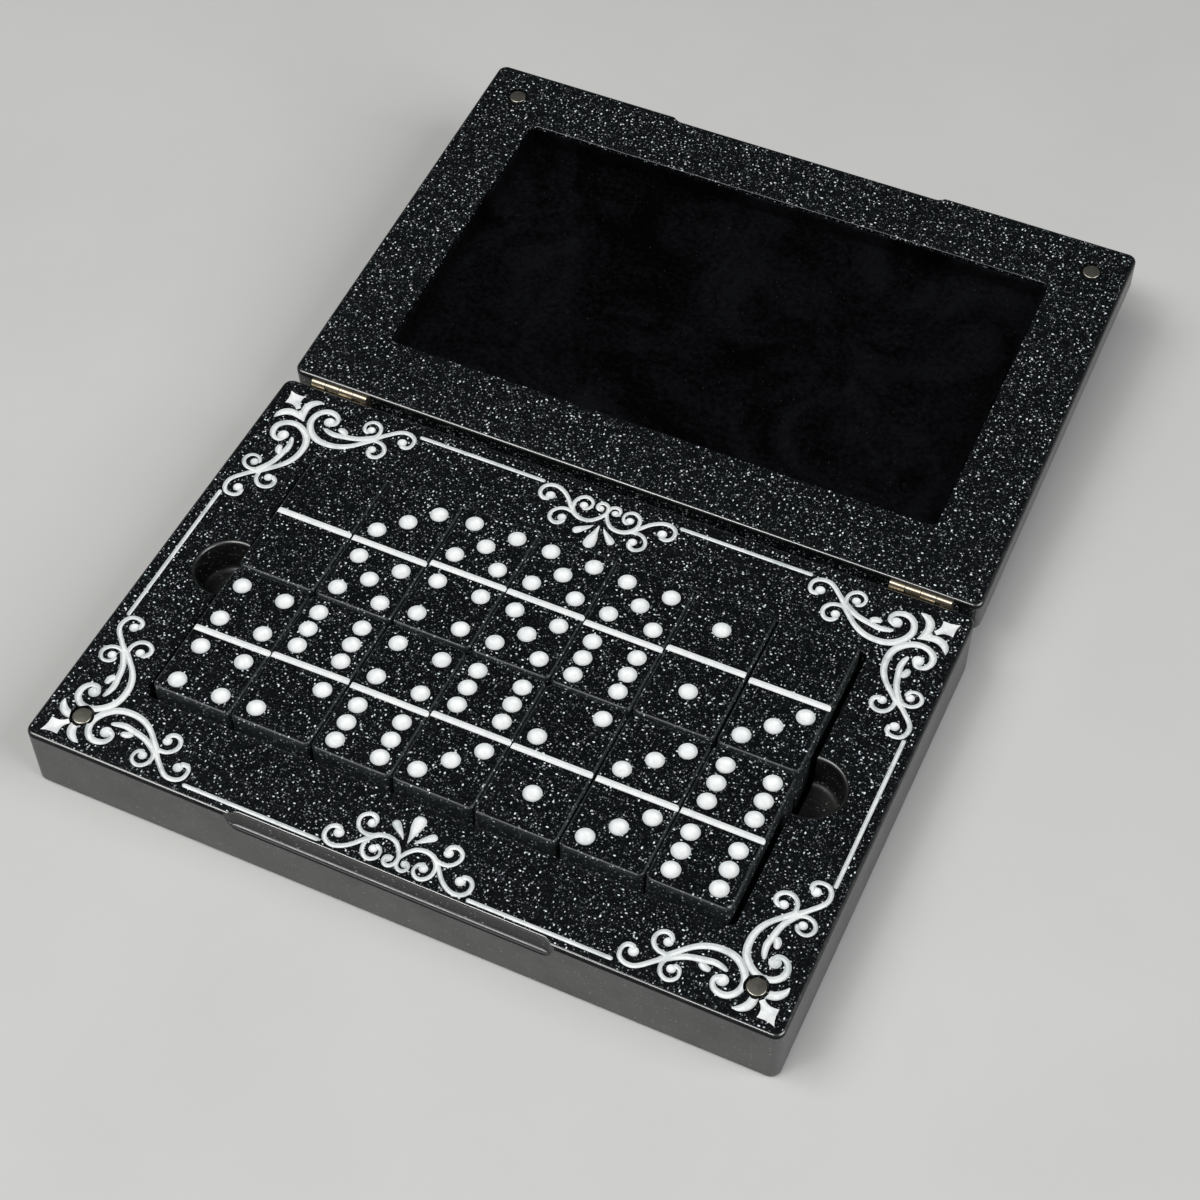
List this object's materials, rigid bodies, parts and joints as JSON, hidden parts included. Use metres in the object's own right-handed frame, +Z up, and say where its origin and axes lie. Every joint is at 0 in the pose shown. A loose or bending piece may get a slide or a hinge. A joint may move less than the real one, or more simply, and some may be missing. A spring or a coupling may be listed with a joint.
{
  "type": "domino storage box",
  "caption": "Flat box for a set of dominoes: cast tray with a pocket and thumb scoops, hinged lid with a lined recess and magnets that hold it shut, dominoes in place.",
  "frame": {"origin": "the centre of the tray's underside, on the table", "axes": "+X along the tray's long side to the right, +Y from the tray's front edge to the hinges, +Z up; the lid lies open behind the tray"},
  "size_m": [0.2286, 0.3039, 0.0339],
  "materials": {
    "resin": "black cast resin full of fine silver glitter, satin",
    "domino_resin": "black cast resin full of fine silver glitter, satin, with white painted pips and bar",
    "velvet": "black short-pile velvet",
    "brass": "polished brass",
    "nickel": "nickel-plated"
  },
  "bodies": {
    "base": {"base_tray": "resin", "base_lining": "velvet", "hinge_left_base_leaf": "brass", "hinge_left_pin": "brass", "hinge_right_base_leaf": "brass", "hinge_right_pin": "brass", "base_hinge_screws": "brass", "base_magnet_left": "nickel", "base_magnet_right": "nickel"},
    "lid": {"lid_shell": "resin", "lid_lining": "velvet", "hinge_left_lid_leaf": "brass", "hinge_right_lid_leaf": "brass", "lid_hinge_screws": "brass", "lid_magnet_left": "nickel", "lid_magnet_right": "nickel"},
    "domino_2_5": {"domino_2_5": "domino_resin"},
    "domino_4_4": {"domino_4_4": "domino_resin"},
    "domino_0_2": {"domino_0_2": "domino_resin"},
    "domino_2_6": {"domino_2_6": "domino_resin"},
    "domino_1_4": {"domino_1_4": "domino_resin"},
    "domino_4_6": {"domino_4_6": "domino_resin"},
    "domino_3_4": {"domino_3_4": "domino_resin"},
    "domino_3_6": {"domino_3_6": "domino_resin"},
    "domino_1_6": {"domino_1_6": "domino_resin"},
    "domino_1_2": {"domino_1_2": "domino_resin"},
    "domino_0_5": {"domino_0_5": "domino_resin"},
    "domino_3_3": {"domino_3_3": "domino_resin"},
    "domino_2_3": {"domino_2_3": "domino_resin"},
    "domino_6_6": {"domino_6_6": "domino_resin"},
    "domino_0_1": {"domino_0_1": "domino_resin"},
    "domino_0_0": {"domino_0_0": "domino_resin"},
    "domino_2_4": {"domino_2_4": "domino_resin"},
    "domino_3_5": {"domino_3_5": "domino_resin"},
    "domino_1_3": {"domino_1_3": "domino_resin"},
    "domino_4_5": {"domino_4_5": "domino_resin"},
    "domino_0_6": {"domino_0_6": "domino_resin"},
    "domino_5_5": {"domino_5_5": "domino_resin"},
    "domino_2_2": {"domino_2_2": "domino_resin"},
    "domino_5_6": {"domino_5_6": "domino_resin"},
    "domino_1_5": {"domino_1_5": "domino_resin"},
    "domino_1_1": {"domino_1_1": "domino_resin"},
    "domino_0_4": {"domino_0_4": "domino_resin"},
    "domino_0_3": {"domino_0_3": "domino_resin"}
  },
  "joints": [
    {"name": "lid_hinge", "type": "hinge", "parent": "base", "child": "lid", "pos_m": [0, 0.07675, 0.02287], "axis": [-1, 0, 0], "range_deg": [-175.8, 0]},
    {"name": "domino_2_5_lift", "type": "slide", "parent": "base", "child": "domino_2_5", "axis": [0, 0, 1], "range_m": [0, 0.03]},
    {"name": "domino_4_4_lift", "type": "slide", "parent": "domino_2_5", "child": "domino_4_4", "axis": [0, 0, 1], "range_m": [0, 0.03]},
    {"name": "domino_0_2_lift", "type": "slide", "parent": "base", "child": "domino_0_2", "axis": [0, 0, 1], "range_m": [0, 0.03]},
    {"name": "domino_2_6_lift", "type": "slide", "parent": "domino_0_2", "child": "domino_2_6", "axis": [0, 0, 1], "range_m": [0, 0.03]},
    {"name": "domino_1_4_lift", "type": "slide", "parent": "base", "child": "domino_1_4", "axis": [0, 0, 1], "range_m": [0, 0.03]},
    {"name": "domino_4_6_lift", "type": "slide", "parent": "domino_1_4", "child": "domino_4_6", "axis": [0, 0, 1], "range_m": [0, 0.03]},
    {"name": "domino_3_4_lift", "type": "slide", "parent": "base", "child": "domino_3_4", "axis": [0, 0, 1], "range_m": [0, 0.03]},
    {"name": "domino_3_6_lift", "type": "slide", "parent": "domino_3_4", "child": "domino_3_6", "axis": [0, 0, 1], "range_m": [0, 0.03]},
    {"name": "domino_1_6_lift", "type": "slide", "parent": "base", "child": "domino_1_6", "axis": [0, 0, 1], "range_m": [0, 0.03]},
    {"name": "domino_1_2_lift", "type": "slide", "parent": "domino_1_6", "child": "domino_1_2", "axis": [0, 0, 1], "range_m": [0, 0.03]},
    {"name": "domino_0_5_lift", "type": "slide", "parent": "base", "child": "domino_0_5", "axis": [0, 0, 1], "range_m": [0, 0.03]},
    {"name": "domino_3_3_lift", "type": "slide", "parent": "domino_0_5", "child": "domino_3_3", "axis": [0, 0, 1], "range_m": [0, 0.03]},
    {"name": "domino_2_3_lift", "type": "slide", "parent": "base", "child": "domino_2_3", "axis": [0, 0, 1], "range_m": [0, 0.03]},
    {"name": "domino_6_6_lift", "type": "slide", "parent": "domino_2_3", "child": "domino_6_6", "axis": [0, 0, 1], "range_m": [0, 0.03]},
    {"name": "domino_0_1_lift", "type": "slide", "parent": "base", "child": "domino_0_1", "axis": [0, 0, 1], "range_m": [0, 0.03]},
    {"name": "domino_0_0_lift", "type": "slide", "parent": "domino_0_1", "child": "domino_0_0", "axis": [0, 0, 1], "range_m": [0, 0.03]},
    {"name": "domino_2_4_lift", "type": "slide", "parent": "base", "child": "domino_2_4", "axis": [0, 0, 1], "range_m": [0, 0.03]},
    {"name": "domino_3_5_lift", "type": "slide", "parent": "domino_2_4", "child": "domino_3_5", "axis": [0, 0, 1], "range_m": [0, 0.03]},
    {"name": "domino_1_3_lift", "type": "slide", "parent": "base", "child": "domino_1_3", "axis": [0, 0, 1], "range_m": [0, 0.03]},
    {"name": "domino_4_5_lift", "type": "slide", "parent": "domino_1_3", "child": "domino_4_5", "axis": [0, 0, 1], "range_m": [0, 0.03]},
    {"name": "domino_0_6_lift", "type": "slide", "parent": "base", "child": "domino_0_6", "axis": [0, 0, 1], "range_m": [0, 0.03]},
    {"name": "domino_5_5_lift", "type": "slide", "parent": "domino_0_6", "child": "domino_5_5", "axis": [0, 0, 1], "range_m": [0, 0.03]},
    {"name": "domino_2_2_lift", "type": "slide", "parent": "base", "child": "domino_2_2", "axis": [0, 0, 1], "range_m": [0, 0.03]},
    {"name": "domino_5_6_lift", "type": "slide", "parent": "domino_2_2", "child": "domino_5_6", "axis": [0, 0, 1], "range_m": [0, 0.03]},
    {"name": "domino_1_5_lift", "type": "slide", "parent": "base", "child": "domino_1_5", "axis": [0, 0, 1], "range_m": [0, 0.03]},
    {"name": "domino_1_1_lift", "type": "slide", "parent": "domino_1_5", "child": "domino_1_1", "axis": [0, 0, 1], "range_m": [0, 0.03]},
    {"name": "domino_0_4_lift", "type": "slide", "parent": "base", "child": "domino_0_4", "axis": [0, 0, 1], "range_m": [0, 0.03]},
    {"name": "domino_0_3_lift", "type": "slide", "parent": "domino_0_4", "child": "domino_0_3", "axis": [0, 0, 1], "range_m": [0, 0.03]}
  ]
}
